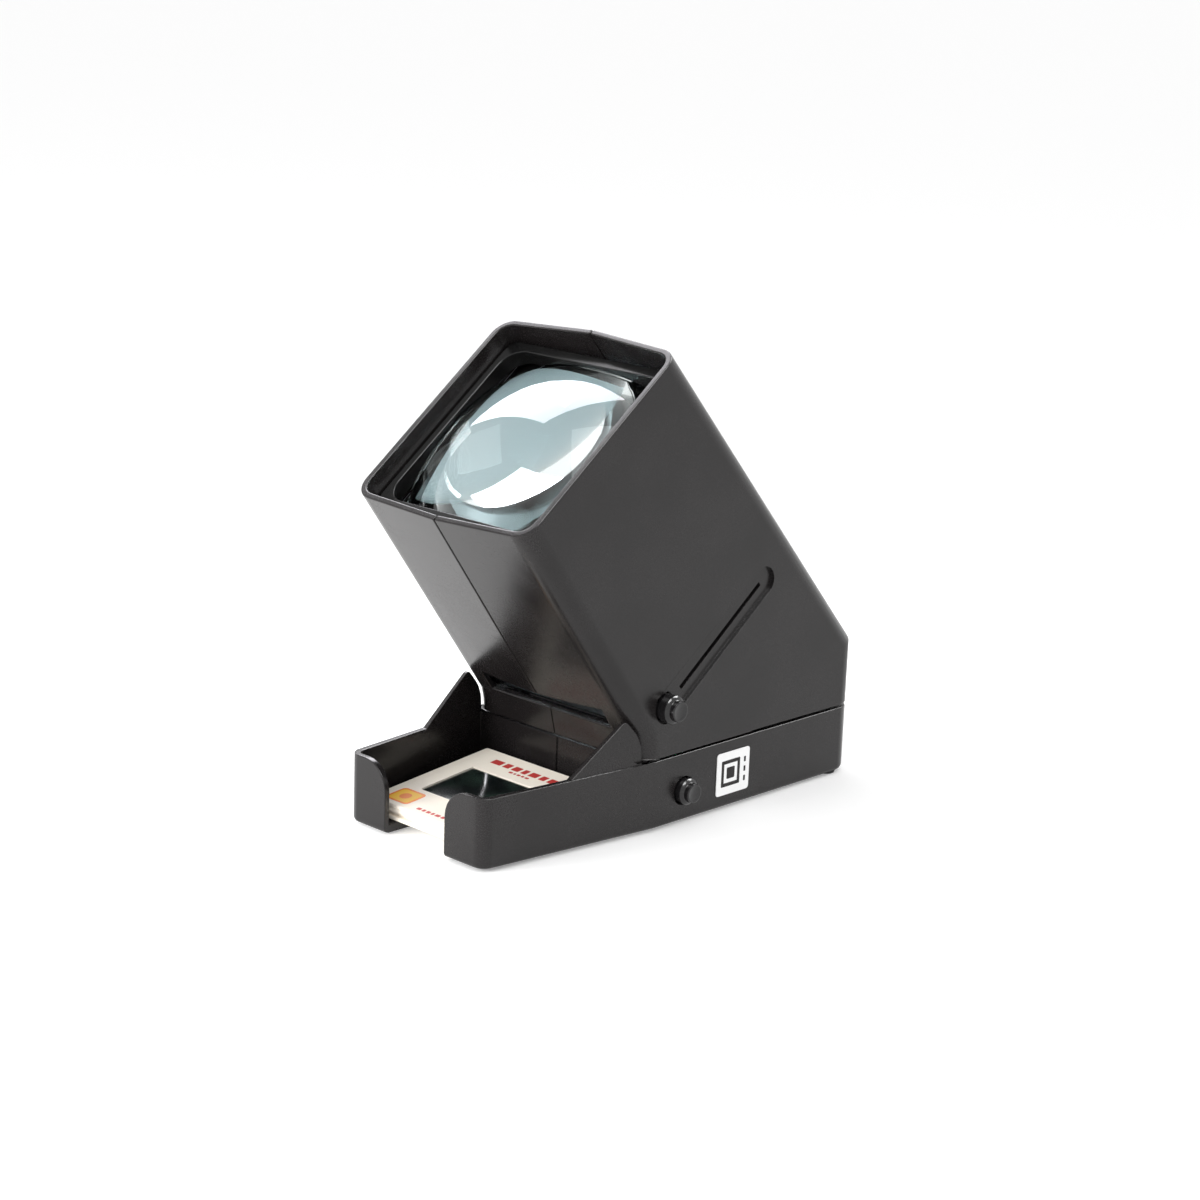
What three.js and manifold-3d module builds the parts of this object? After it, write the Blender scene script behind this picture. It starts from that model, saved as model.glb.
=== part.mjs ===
// Desktop viewer for 35 mm slides and film strips: a lit gate seen through a large magnifier.
// Millimetres, +Z up, slide tray towards -Y, push buttons on +X.
// Origin: middle of the footprint, on the surface that the rubber feet stand on.

import * as THREE from "three";
import { ConvexGeometry } from "three/addons/geometries/ConvexGeometry.js";
import { mergeVertices } from "three/addons/utils/BufferGeometryUtils.js";
import Module from "manifold-3d";

// ---- driving dimensions ----
const LENGTH = 163.5; // front of the tray to the rear wall
const WIDTH = 76.2; // hood and rear half of the base
const FRONT_WIDTH = 60.6; // the tray tapers to this at its front
const BEND_Y = -14.75; // where the tapered sides become parallel
const WALL = 2;
const FOOT_LIFT = 0.8; // the feet hold the base this far off the table
const BASE_TOP = 23.3;
const PARTING_GAP = 0.9; // between the base and the hood
const SEAM_GAP = 0.4; // between the two hood shells
const GAP = 0.3; // between pieces that touch
const TILT = THREE.MathUtils.degToRad(38); // of the slide, the lens and the rim
const SLIDE = 50; // side of a slide mount
const SLIDE_THICK = 1.25;
const GATE_CENTRE = [11.1, 57.0]; // Y and Z of the middle of the slide being viewed
const RIM_N = 89.4; // the rim's height above the slide, along the optical axis
const RIM_DEPTH = 78.5; // the rim's outer size across the slope
const RIM_CROWN = [1.8, 2.6]; // front and back faces stand out this much at the seam
const CORNER = 7; // outer corner radius of the hood
const DRAFT = [Math.tan(THREE.MathUtils.degToRad(1.6)), Math.tan(THREE.MathUtils.degToRad(4.1))];
const FOOT_Y = -21.25; // front of the hood where it stands on the base
const FOOT_BLEND = 20; // radius of the curve from there into the sloping front face
const TRAY_BACK_Y = -20.75;
const LIP_EDGE = [-24.3, 33.9]; // Y and Z of the exit ramp's front edge
const SLOT_HALF = 27; // half the width of the exit slot
const FLOOR_TILT = THREE.MathUtils.degToRad(6.1); // tray floor
const FLOOR_FRONT_Z = 3.4;
const LENS_HALF = 33.5;
const LENS_CORNER = 8;
const LENS_RADII = [75, 90]; // eye side and slide side
const LENS_EDGE = 2; // thickness left at the lens's corners
const RECESS = { n: 0.3, radius: 4.7, from: -28.6, to: 27, depth: 1.3 };
const SLIT = { from: -19.5, to: 25.7, width: 1.5 };
const RELEASE = { s: -28.2, n: 0.75, radius: 4.6, cap: 3.4, face: 2.9, out: 6 };
const RELEASE_CORE = { s: -28.6, n: 1.94 }; // axis of its spring, clear of the stop gate's cam
const POWER = { y: -1.6, z: 11, radius: 4.3, cap: 3.2, face: 2.7, out: 4.5 };
const CELL = { radius: 7.1, length: 49.2, first: 22, pitch: 15, z: 10.6 };
const DOOR_HALF = 30; // battery door opening
const DOOR_FRONT_Y = 13;
const SCREWS = [[31, -15], [33, 7.6]]; // X and Y, on both sides
const BOSS_TOP = 32; // top of the screw bosses inside the hood
const FEET = [[21.5, -74.5], [34, 74]];

const HALF = LENGTH / 2;
const HALF_W = WIDTH / 2;
const HALF_FRONT = FRONT_WIDTH / 2;
const HOOD_BOTTOM = BASE_TOP + PARTING_GAP;
const FLARE = (HALF_W - HALF_FRONT) / (BEND_Y + HALF); // sideways run of the tapered walls

// ---- solids ----
const wasm = await Module();
wasm.setup();

function solid(geometry) {
  const bare = geometry.index ? geometry.toNonIndexed() : geometry.clone();
  bare.deleteAttribute("normal");
  bare.deleteAttribute("uv");
  const merged = mergeVertices(bare, 1e-4);
  return new wasm.Manifold(
    new wasm.Mesh({
      numProp: 3,
      vertProperties: merged.attributes.position.array,
      triVerts: new Uint32Array(merged.index.array),
    }),
  );
}

const join = (...solids) => solids.reduce((sum, next) => sum.add(next));
const cut = (body, ...tools) => tools.reduce((left, tool) => left.subtract(tool), body);

function geometryOf(body) {
  const mesh = body.getMesh();
  const geometry = new THREE.BufferGeometry();
  geometry.setAttribute("position", new THREE.BufferAttribute(mesh.vertProperties, 3));
  geometry.setIndex(new THREE.BufferAttribute(mesh.triVerts, 1));
  geometry.computeVertexNormals();
  return geometry;
}

// An outline from corners [u, v, radius]; a corner with a radius becomes an arc.
function outline(corners, stepsPerQuarter = 5) {
  const points = [];
  corners.forEach(([u, v, radius], i) => {
    const here = new THREE.Vector2(u, v);
    if (!radius) {
      points.push(here);
      return;
    }
    const before = corners.at(i - 1);
    const after = corners[(i + 1) % corners.length];
    const back = new THREE.Vector2(before[0], before[1]).sub(here).normalize();
    const ahead = new THREE.Vector2(after[0], after[1]).sub(here).normalize();
    const half = Math.acos(THREE.MathUtils.clamp(back.dot(ahead), -1, 1)) / 2;
    const centre = back.clone().add(ahead).normalize().multiplyScalar(radius / Math.sin(half)).add(here);
    const start = back.multiplyScalar(radius / Math.tan(half)).add(here).sub(centre);
    const end = ahead.multiplyScalar(radius / Math.tan(half)).add(here).sub(centre);
    const turn = Math.atan2(start.cross(end), start.dot(end));
    const steps = Math.max(2, Math.ceil((Math.abs(turn) / (Math.PI / 2)) * stepsPerQuarter));
    for (let k = 0; k <= steps; k++) {
      points.push(start.clone().rotateAround(new THREE.Vector2(), (turn * k) / steps).add(centre));
    }
  });
  return points;
}

function extrude(points, depth, bevel = 0, holes = []) {
  const shape = new THREE.Shape(points);
  holes.forEach((hole) => shape.holes.push(new THREE.Path(hole)));
  return new THREE.ExtrudeGeometry(shape, {
    depth: depth - 2 * bevel,
    bevelEnabled: bevel > 0,
    bevelThickness: bevel,
    bevelSize: bevel,
    bevelOffset: -bevel,
    bevelSegments: 2,
    steps: 1,
  }).translate(0, 0, bevel);
}

const X = new THREE.Vector3(1, 0, 0);
const Y = new THREE.Vector3(0, 1, 0);
const Z = new THREE.Vector3(0, 0, 1);
const place = (x, y, z) => new THREE.Matrix4().makeTranslation(x, y, z);

// Prisms along each axis, from outlines given as (Y, Z), (X, Z) and (X, Y).
const prismX = (points, x0, x1, ...rest) =>
  extrude(points, x1 - x0, ...rest).applyMatrix4(
    place(x0, 0, 0).multiply(new THREE.Matrix4().makeBasis(Y, Z, X)),
  );
const prismY = (points, y0, y1, ...rest) =>
  extrude(points, y1 - y0, ...rest).applyMatrix4(
    place(0, y1, 0).multiply(new THREE.Matrix4().makeBasis(X, Z, Y.clone().negate())),
  );
const prismZ = (points, z0, z1, ...rest) => extrude(points, z1 - z0, ...rest).translate(0, 0, z0);

const box = (x0, x1, y0, y1, z0, z1) =>
  new THREE.BoxGeometry(x1 - x0, y1 - y0, z1 - z0).translate((x0 + x1) / 2, (y0 + y1) / 2, (z0 + z1) / 2);

const rod = (radius, from, to, sides = 20) =>
  new THREE.CylinderGeometry(radius, radius, to - from, sides)
    .rotateX(Math.PI / 2)
    .translate(0, 0, (from + to) / 2);
const rodX = (radius, from, to, sides) => rod(radius, from, to, sides).rotateY(Math.PI / 2);

// The gate frame: X across, Y up the slope of the slide, Z along the optical axis to the eye.
const GATE = place(0, ...GATE_CENTRE).multiply(new THREE.Matrix4().makeRotationX(TILT));
const inGate = (geometry) => geometry.applyMatrix4(GATE);
const gatePoint = (s, n) => {
  const p = new THREE.Vector3(0, s, n).applyMatrix4(GATE);
  return [p.y, p.z];
};
const toGate = (y, z) => {
  const p = new THREE.Vector3(0, y, z).applyMatrix4(GATE.clone().invert());
  return [p.y, p.z];
};

function squareOutline(halfX, halfY, radius, steps) {
  return outline(
    [
      [-halfX, -halfY, radius],
      [halfX, -halfY, radius],
      [halfX, halfY, radius],
      [-halfX, halfY, radius],
    ],
    steps,
  );
}

const circle = (radius, sides = 12) =>
  Array.from({ length: sides }, (_, i) =>
    new THREE.Vector2(radius, 0).rotateAround(new THREE.Vector2(), (2 * Math.PI * i) / sides),
  );

function stadium(from, to, centre, radius) {
  return outline(
    [
      [from - radius, centre - radius, radius * 0.999],
      [to + radius, centre - radius, radius * 0.999],
      [to + radius, centre + radius, radius * 0.999],
      [from - radius, centre + radius, radius * 0.999],
    ],
    6,
  );
}

// A stadium or other outline in the gate's (s, n) plane, run along X.
const gatePrism = (points, x0, x1, ...rest) => inGate(prismX(points, x0, x1, ...rest));

// A wound wire: a round section carried along a helix about X.
function coil(radius, wire, from, to, turns) {
  class Helix extends THREE.Curve {
    getPoint(t, target = new THREE.Vector3()) {
      const angle = 2 * Math.PI * turns * t;
      const x = from + wire + (to - from - 2 * wire) * t;
      return target.set(x, radius * Math.cos(angle), radius * Math.sin(angle));
    }
  }
  const section = new THREE.Shape(circle(wire, 5));
  return new THREE.ExtrudeGeometry(section, { steps: turns * 10, extrudePath: new Helix() });
}

// ---- materials ----
const plastic = (color, roughness) => new THREE.MeshStandardMaterial({ color, roughness, metalness: 0 });
const metal = (color, roughness) => new THREE.MeshStandardMaterial({ color, roughness, metalness: 1 });
const HOUSING = plastic(0x2b2829, 0.42);
const INNER = plastic(0x18181a, 0.6);
const BUTTON = plastic(0x1b1a1b, 0.3);
const RUBBER = plastic(0x141414, 0.85);
const WHITE = plastic(0xf4f4f2, 0.5);
const OPAL = plastic(0xf8fbff, 0.35);
const LENS = new THREE.MeshPhysicalMaterial({ color: 0xf4fbfb, roughness: 0.02, transmission: 1, ior: 1.49 });
const BOARD = plastic(0x1d5a33, 0.5);
const STEEL = metal(0xb9bcc0, 0.3);
const CELL_WRAP = plastic(0x3c4a57, 0.35);
const MOUNT = plastic(0xf3e6d2, 0.7);
const FILM = plastic(0x15201d, 0.12);

const viewer = new THREE.Group();

function add(name, body, material) {
  const mesh = new THREE.Mesh(body.isBufferGeometry ? body : geometryOf(body), material);
  mesh.name = name;
  viewer.add(mesh);
  return mesh;
}

// ---- hood: two shells that meet at X = 0 ----
// Its section across the optical axis at height n, grown smaller by inset.
function hoodRing(n, inset) {
  const depth = RIM_N - n;
  const front = -RIM_DEPTH / 2 - depth * DRAFT[0] + inset;
  const back = RIM_DEPTH / 2 + depth * DRAFT[1] - inset;
  const side = HALF_W - inset;
  const radius = CORNER - inset;
  const frontCrown = RIM_CROWN[0] + depth * 0.008;
  const backCrown = RIM_CROWN[1] * Math.max(0, 1 - depth / 165);
  const corners = [
    [-side, front, radius],
    [0, front - frontCrown, 0],
    [side, front, radius],
    [side, back, radius],
    [0, back + backCrown, 0],
    [-side, back, radius],
  ];
  return outline(corners, 8).map((p) => new THREE.Vector3(p.x, p.y, n));
}

function hoodBody(inset) {
  const open = inset ? 6 : 0; // the hollow runs out of the rim and the bottom
  const top = RIM_N + open;
  const bottom = HOOD_BOTTOM - open;
  const low = -76;
  const hull = solid(inGate(new ConvexGeometry([...hoodRing(top, inset), ...hoodRing(low, inset)])));
  const ridge = [top + 10, low].map((n) => {
    const depth = RIM_N - n;
    const crown = RIM_CROWN[1] * Math.max(0, 1 - depth / 165);
    return gatePoint(RIM_DEPTH / 2 + depth * DRAFT[1] - inset + crown + 0.02, n);
  });
  const slope = (ridge[1][1] - ridge[0][1]) / (ridge[1][0] - ridge[0][0]);
  const rear = HALF - inset;
  const kneeZ = ridge[0][1] + slope * (rear - ridge[0][0]);
  const side = solid(
    prismX(
      outline([
        [-130, bottom, 0],
        [rear, bottom, 0],
        [rear, kneeZ, 18 - inset],
        [...ridge[0], 0],
        [-130, 220, 0],
      ]),
      -HALF_W,
      HALF_W,
    ),
  );
  const w = HALF_W - inset;
  const plan = solid(
    prismZ(
      outline([
        [-w, -130, 0],
        [w, -130, 0],
        [w, rear, CORNER - inset],
        [-w, rear, CORNER - inset],
      ]),
      bottom,
      220,
    ),
  );
  return hull.intersect(side).intersect(plan).add(hoodFoot(inset, bottom));
}

// The front wall rises from the base and curves forward into the slope: a stack of thin convex layers.
function hoodFoot(inset, bottom) {
  const slopeAt = (n) => gatePoint(-RIM_DEPTH / 2 - (RIM_N - n) * DRAFT[0], n);
  const [low, high] = [slopeAt(0), slopeAt(30)];
  const lean = Math.atan2(low[0] - high[0], high[1] - low[1]);
  const cornerZ = low[1] + (low[0] - FOOT_Y) / Math.tan(lean);
  const centreZ = cornerZ - FOOT_BLEND * Math.tan(lean / 2);
  const radius = CORNER - inset;
  const layer = (front, z, stretch) =>
    [-1, 1].flatMap((side) => [
      new THREE.Vector3(side * (HALF_W - inset), 30, z),
      ...Array.from({ length: 9 }, (_, k) => {
        const angle = (Math.PI / 2) * (k / 8);
        const x = HALF_W - inset - radius * (1 - Math.sin(angle));
        return new THREE.Vector3(side * x, front + stretch * radius * (1 - Math.cos(angle)), z);
      }),
    ]);
  const layers = [layer(FOOT_Y + inset, bottom, 1)];
  const steps = 7;
  for (let i = 0; i <= steps; i++) {
    const angle = (lean * i) / steps;
    const stretch = 1 + ((1 / Math.cos(TILT) - 1) * i) / steps;
    const reach = FOOT_BLEND + inset;
    const front = FOOT_Y - FOOT_BLEND + reach * Math.cos(angle) + 0.02;
    layers.push(layer(front, centreZ + reach * Math.sin(angle), stretch));
  }
  return join(...layers.slice(1).map((upper, i) => solid(new ConvexGeometry([...layers[i], ...upper]))));
}

function hoodShell() {
  // The exit slot takes the foot of the front face away; the chin closes it below the ramp's edge.
  const [frontY, frontZ] = [-31.35, 38.8];
  const slot = solid(
    prismX(
      outline([
        [frontY - 16.4, frontZ - 11.8, 0],
        [frontY + 2.4, frontZ + 1.75, 0],
        [frontY + 14, frontZ + 1.75, 0],
        [frontY + 14, HOOD_BOTTOM - 1, 0],
        [frontY - 16.4, HOOD_BOTTOM - 1, 0],
      ]),
      -SLOT_HALF,
      SLOT_HALF,
    ),
  );
  const chin = solid(
    prismX(
      outline([
        [LIP_EDGE[0], LIP_EDGE[1], 0.6],
        [FOOT_Y - 0.6, HOOD_BOTTOM, 0],
        [FOOT_Y + WALL, HOOD_BOTTOM, 0],
        [LIP_EDGE[0] + 3.1, LIP_EDGE[1] + 0.1, 0],
      ]),
      -SLOT_HALF - 1,
      SLOT_HALF + 1,
    ),
  );
  // Slides go in through a slot across the back face.
  const entry = solid(
    gatePrism(outline([[36, -1, 0], [60, -2.4, 0], [60, 4.2, 0], [36, 1.4, 0]]), -26, 26),
  );
  let shell = cut(hoodBody(0), hoodBody(WALL), slot).add(chin).subtract(entry);
  for (const side of [-1, 1]) {
    const span = (a, b) => (side > 0 ? [a, b] : [-b, -a]);
    const pad = solid(
      gatePrism(stadium(RECESS.from, RECESS.to, RECESS.n, RECESS.radius + 2.6), ...span(33.6, HALF_W - 0.5)),
    );
    const recess = solid(
      gatePrism(
        stadium(RECESS.from, RECESS.to, RECESS.n, RECESS.radius),
        ...span(HALF_W - RECESS.depth, HALF_W + 1),
      ),
    );
    const slit = solid(
      gatePrism(
        outline([
          [SLIT.from, -SLIT.width / 2, 0],
          [SLIT.to, -SLIT.width / 2, 0],
          [SLIT.to, SLIT.width / 2, 0],
          [SLIT.from, SLIT.width / 2, 0],
        ]),
        ...span(30, HALF_W + 1),
      ),
    );
    shell = cut(shell.add(pad), recess, slit);
    for (const [x, y] of SCREWS) {
      const boss = join(
        solid(rod(3.2, HOOD_BOTTOM, BOSS_TOP).translate(side * x, y, 0)),
        solid(box(...span(x, HALF_W - 1), y - 1, y + 1, HOOD_BOTTOM, BOSS_TOP)),
      );
      const screwHole = solid(rod(1.5, HOOD_BOTTOM - 1, BOSS_TOP - 1.5).translate(side * x, y, 0));
      shell = cut(shell.add(boss), screwHole);
    }
  }
  const [y, z] = gatePoint(RELEASE.s, RELEASE.n);
  return cut(
    shell,
    solid(rodX(RELEASE.radius + 0.35, 30, HALF_W + 1, 28).translate(0, y, z)),
    solid(rodX(RELEASE.radius + 1.7, 30, 35.6, 28).translate(0, y, z)),
  );
}

const SHELL = hoodShell();
const halfSpace = (x0, x1) => solid(box(x0, x1, -140, 140, 0, 240));
add("hood_shell_right", SHELL.intersect(halfSpace(SEAM_GAP / 2, 60)), HOUSING);
add("hood_shell_left", SHELL.intersect(halfSpace(-60, -SEAM_GAP / 2)), HOUSING);

// ---- base: tray, fins and battery housing in one moulding ----
function basePlan(inset) {
  const [w, f] = [HALF_W - inset, HALF_FRONT - inset];
  return outline([
    [-f, -HALF + inset, 4.5 - inset],
    [f, -HALF + inset, 4.5 - inset],
    [w, BEND_Y, 0],
    [w, HALF - inset, CORNER - inset],
    [-w, HALF - inset, CORNER - inset],
    [-w, BEND_Y, 0],
  ]);
}

const floorZ = (y) => FLOOR_FRONT_Z + (y + HALF - WALL) * Math.tan(FLOOR_TILT);

function trayFin(side) {
  const profile = outline([
    [-49.5, BASE_TOP - 1, 0],
    [-20.55, BASE_TOP - 1, 0],
    [-21.0, 31.2, 14],
    [-27.6, 38.6, 1.6],
  ]);
  const thick = 1.7;
  const outer = HALF_FRONT + HALF * FLARE - 0.5; // the fin's outer face where Y is 0
  const lean = new THREE.Matrix4().set(1, side * FLARE, 0, 0, 0, 1, 0, 0, 0, 0, 1, 0, 0, 0, 0, 1);
  const [x0, x1] = side > 0 ? [outer - thick, outer] : [-outer, thick - outer];
  return solid(prismX(profile, x0, x1).applyMatrix4(lean));
}

function baseShell() {
  const outside = solid(prismZ(basePlan(0), FOOT_LIFT, BASE_TOP + 6, 1.6)).intersect(
    solid(box(-60, 60, -100, 100, 0, BASE_TOP)),
  );
  const inside = solid(prismZ(basePlan(WALL), FOOT_LIFT + WALL, 40));
  const rearRoom = inside.intersect(solid(box(-60, 60, TRAY_BACK_Y + WALL, 100, 0, 40)));
  const trayRoom = inside.intersect(
    solid(
      prismX(
        outline([
          [-100, floorZ(-100), 0],
          [TRAY_BACK_Y, floorZ(TRAY_BACK_Y), 0],
          [TRAY_BACK_Y, 40, 0],
          [-100, 40, 0],
        ]),
        -60,
        60,
      ),
    ),
  );
  const underFloor = solid(
    prismX(
      outline([
        [-58, FOOT_LIFT + WALL, 0],
        [TRAY_BACK_Y + 4, FOOT_LIFT + WALL, 0],
        [TRAY_BACK_Y + 4, floorZ(TRAY_BACK_Y) - WALL, 0],
        [TRAY_BACK_Y, floorZ(TRAY_BACK_Y) - WALL, 0],
      ]),
      -27,
      27,
    ),
  );
  // Two front lips with rounded shoulders are left either side of a wide finger notch.
  const [notch, shoulder] = [13.4, 9.3];
  const lipGap = solid(
    prismY(
      outline(
        [
          [-notch, -2, 0],
          [notch, -2, 0],
          ...outline([[notch, 0, 0], [notch, BASE_TOP, shoulder], [40, BASE_TOP, 0]], 6)
            .slice(1, -1)
            .map((p) => [p.x, p.y, 0]),
          [notch + shoulder, 40, 0],
          [-notch - shoulder, 40, 0],
          ...outline([[-40, BASE_TOP, 0], [-notch, BASE_TOP, shoulder], [-notch, 0, 0]], 6)
            .slice(1, -1)
            .map((p) => [p.x, p.y, 0]),
        ],
        6,
      ),
      -HALF - 2,
      -HALF + WALL + 0.6,
    ),
  );
  const [notchFront, notchBack] = [-HALF - 2, -HALF + 21];
  const floorNotch = solid(
    prismZ(
      outline([
        [-notch, notchFront, 0],
        [notch, notchFront, 0],
        [notch, notchBack, 7],
        [-notch, notchBack, 7],
      ]),
      -1,
      12,
    ),
  );
  const doorWay = solid(box(-DOOR_HALF, DOOR_HALF, DOOR_FRONT_Y, HALF + 1, 0, 3.6));
  const doorExit = solid(box(-32, 32, HALF - 2 * WALL, HALF + 1, 0, 4.6));
  let shell = cut(outside, rearRoom, trayRoom, underFloor, lipGap, floorNotch);
  // Walls of the battery bay, standing clear of the door's runners.
  const bay = (x0, x1, y0, y1) => solid(box(x0, x1, y0, y1, 4.9, 19.6));
  shell = join(shell, bay(-31.2, -29.9, 12, HALF - 1), bay(29.9, 31.2, 12, HALF - 1));
  shell = join(shell, solid(box(-31.2, 31.2, 11, 12.3, FOOT_LIFT + 1, 19.6)));
  for (const side of [-1, 1]) {
    shell = shell.add(trayFin(side));
    for (const [x, y] of SCREWS) {
      const boss = solid(rod(4.1, FOOT_LIFT + 1, 20.5).translate(side * x, y, 0)).intersect(
        solid(prismZ(basePlan(0.5), 0, 30)),
      );
      const bore = solid(rod(1.8, 0, 30).translate(side * x, y, 0));
      const counterbore = solid(rod(3.1, 0, 8).translate(side * x, y, 0));
      shell = cut(shell.add(boss), bore, counterbore);
    }
    for (const [x, y] of FEET) {
      shell = shell.subtract(solid(rod(3.4, 0, FOOT_LIFT + 0.7).translate(side * x, y, 0)));
    }
  }
  const groove = solid(
    box(-0.3, 0.3, TRAY_BACK_Y - 1, TRAY_BACK_Y + 0.6, floorZ(TRAY_BACK_Y), BASE_TOP + 1),
  );
  const buttonHole = solid(rodX(POWER.radius + 0.35, 30, HALF_W + 1, 28).translate(0, POWER.y, POWER.z));
  return cut(shell, doorWay, doorExit, groove, buttonHole);
}
add("base_shell", baseShell(), HOUSING);

function baseDeck() {
  const plate = solid(prismZ(basePlan(WALL + GAP), 20.8, 22.8)).intersect(
    solid(box(-60, 60, TRAY_BACK_Y + WALL + GAP, 100, 0, 40)),
  );
  const holes = [-1, 1].flatMap((side) =>
    SCREWS.map(([x, y]) => solid(rod(2, 15, 30).translate(side * x, y, 0))),
  );
  return cut(plate, solid(rod(3, 15, 30).translate(0, 4, 0)), ...holes);
}
add("base_deck", baseDeck(), INNER);

// The battery door slides out to the rear on two runners.
function batteryDoor() {
  const [plate, runner] = [DOOR_HALF - GAP, 31.6];
  const section = outline(
    [
      [-plate, FOOT_LIFT + 0.1],
      [plate, FOOT_LIFT + 0.1],
      [plate, 3.1],
      [runner, 3.1],
      [runner, 4.3],
      [plate - 1.6, 4.3],
      [plate - 1.6, 2.6],
      [1.6 - plate, 2.6],
      [1.6 - plate, 4.3],
      [-runner, 4.3],
      [-runner, 3.1],
      [-plate, 3.1],
    ].map(([x, z]) => [x, z, 0]),
  );
  const rearLip = solid(box(-runner, runner, HALF - 1.8, HALF - 0.1, 2.4, 4.3));
  const grips = [68, 70.6, 73.2, 75.8].map((y) => solid(box(-9, 9, y, y + 1.2, 0, FOOT_LIFT + 0.6)));
  return cut(solid(prismY(section, DOOR_FRONT_Y + GAP, HALF - 0.1)).add(rearLip), ...grips);
}
add("battery_door", batteryDoor(), HOUSING);

for (const [end, [x, y]] of [["front", FEET[0]], ["rear", FEET[1]]]) {
  for (const [hand, side] of [["left", -1], ["right", 1]]) {
    add(`foot_${end}_${hand}`, rod(3.1, 0, FOOT_LIFT + 0.4).translate(side * x, y, 0), RUBBER);
  }
}

for (const [end, [x, y]] of [["front", SCREWS[0]], ["middle", SCREWS[1]]]) {
  for (const [hand, side] of [["left", -1], ["right", 1]]) {
    const slots = [box(-1.9, 1.9, -0.35, 0.35, 0, 6.6), box(-0.35, 0.35, -1.9, 1.9, 0, 6.6)].map(solid);
    const screw = cut(join(solid(rod(2.8, 5.7, 7.7)), solid(rod(1.2, 7.6, BOSS_TOP - 3, 12))), ...slots);
    add(`base_screw_${end}_${hand}`, geometryOf(screw).translate(side * x, y, 0), STEEL);
  }
}

// ---- lens and its frames ----
const LENS_REACH = (LENS_HALF - LENS_CORNER) * Math.SQRT2 + LENS_CORNER; // axis to corner
const sag = (radius, r) => radius - Math.sqrt(radius * radius - r * r);
const LENS_TOP = RIM_N - 0.6;
const LENS_THICK = sag(LENS_RADII[0], LENS_REACH) + sag(LENS_RADII[1], LENS_REACH) + LENS_EDGE;

function lensSolid(grow, steps) {
  const reach = LENS_REACH + 1 + grow;
  const face = (radius, at, sign) =>
    Array.from({ length: 11 }, (_, i) => {
      const r = (reach * i) / 10;
      return new THREE.Vector2(r, at - sign * sag(radius, r));
    });
  const under = face(LENS_RADII[1] + grow, LENS_TOP - LENS_THICK - grow, -1);
  const over = face(LENS_RADII[0] + grow, LENS_TOP + grow, 1).reverse();
  const turned = solid(new THREE.LatheGeometry([...under, ...over], steps).rotateX(Math.PI / 2));
  const edge = squareOutline(LENS_HALF + grow, LENS_HALF + grow, LENS_CORNER + grow);
  return turned.intersect(solid(prismZ(edge, 40, 110)));
}
const lensInPlace = (body) => inGate(geometryOf(body));
add("magnifier_lens", lensInPlace(lensSolid(0, 64)), LENS);

function lensRing(inner, from, to) {
  const outer = 35.6;
  const ring = prismZ(squareOutline(outer, RIM_DEPTH / 2 - WALL - 0.6, CORNER - WALL - 0.4), from, to);
  const hole = prismZ(squareOutline(inner, inner, LENS_CORNER - 1), from - 1, to + 1);
  return cut(solid(ring), solid(hole), lensSolid(GAP, 48));
}
add("lens_bezel", lensInPlace(lensRing(LENS_HALF - 0.4, RIM_N - 12, RIM_N - 6.6)), INNER);
add("lens_seat", lensInPlace(lensRing(LENS_HALF - 3, RIM_N - 27, RIM_N - 15)), INNER);

// ---- slide gate ----
const BED_END = 41.5; // up the slope, just inside the back face
const BED_TOP = -1; // the slide lies on the bed, half its thickness and a little below n = 0
const [LIP_S, LIP_N] = toGate(...LIP_EDGE);
const PIVOT = { s: -36, n: -3.6 };
// Room for the release button's flange in the bed and the front plate.
const flangeRoom = () => solid(inGate(box(28.8, 34, -36, -21.3, -6, 9)));

function slideBed() {
  const window = solid(inGate(box(-19, 19, -19, 19, -9, 3)));
  const plate = solid(inGate(box(-33.1, 33.1, -24.5, BED_END, BED_TOP - 1.8, BED_TOP)));
  const ramp = solid(
    gatePrism(
      outline([
        [-24, BED_TOP - 1.8, 0],
        [-24, BED_TOP, 0],
        [-27, BED_TOP, 0],
        [LIP_S + 3.4, LIP_N - 1.2, 0],
        [LIP_S + 3.9, LIP_N - 3, 0],
        [-27.4, BED_TOP - 1.8, 0],
      ]),
      -24.9,
      24.9,
    ),
  );
  const rail = (x0, x1, s0, s1) => solid(inGate(box(x0, x1, s0, s1, BED_TOP - 0.5, 1.1)));
  const rails = [-1, 1].flatMap((side) => {
    const [x0, x1] = side > 0 ? [25.7, 28.5] : [-28.5, -25.7];
    return [rail(x0, x1, -24.5, SLIT.from - 1), rail(x0, x1, SLIT.to + 1, BED_END)];
  });
  const ears = [-1, 1].map((side) => {
    const [x0, x1] = side > 0 ? [18.7, 20.5] : [-20.5, -18.7];
    const profile = outline([[-37.8, -5.6, 1.4], [-34.2, -5.6, 1.4], [-33.2, 0.4, 0], [-38.2, 1.3, 0]]);
    return solid(gatePrism(profile, x0, x1));
  });
  const bore = solid(inGate(rodX(1.1, -22, 22, 12).translate(0, PIVOT.s, PIVOT.n)));
  const gateSlot = solid(inGate(box(-18.5, 18.5, -28.8, -24.85, -6, 3)));
  return cut(join(plate, ramp, ...rails, ...ears), window, bore, gateSlot, flangeRoom());
}
add("slide_bed", slideBed(), INNER);

function frontPlate() {
  const plate = solid(inGate(box(-33.1, 33.1, -24, 40, 1.4, 3.2)));
  const window = solid(inGate(box(-18.5, 18.5, -18.5, 18.5, 0, 5)));
  const tab = solid(inGate(box(21.5, 25.2, -31, -23.5, 1.4, 3.2)));
  return cut(join(plate, tab), window, flangeRoom());
}
add("gate_front_plate", frontPlate(), INNER);

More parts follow.
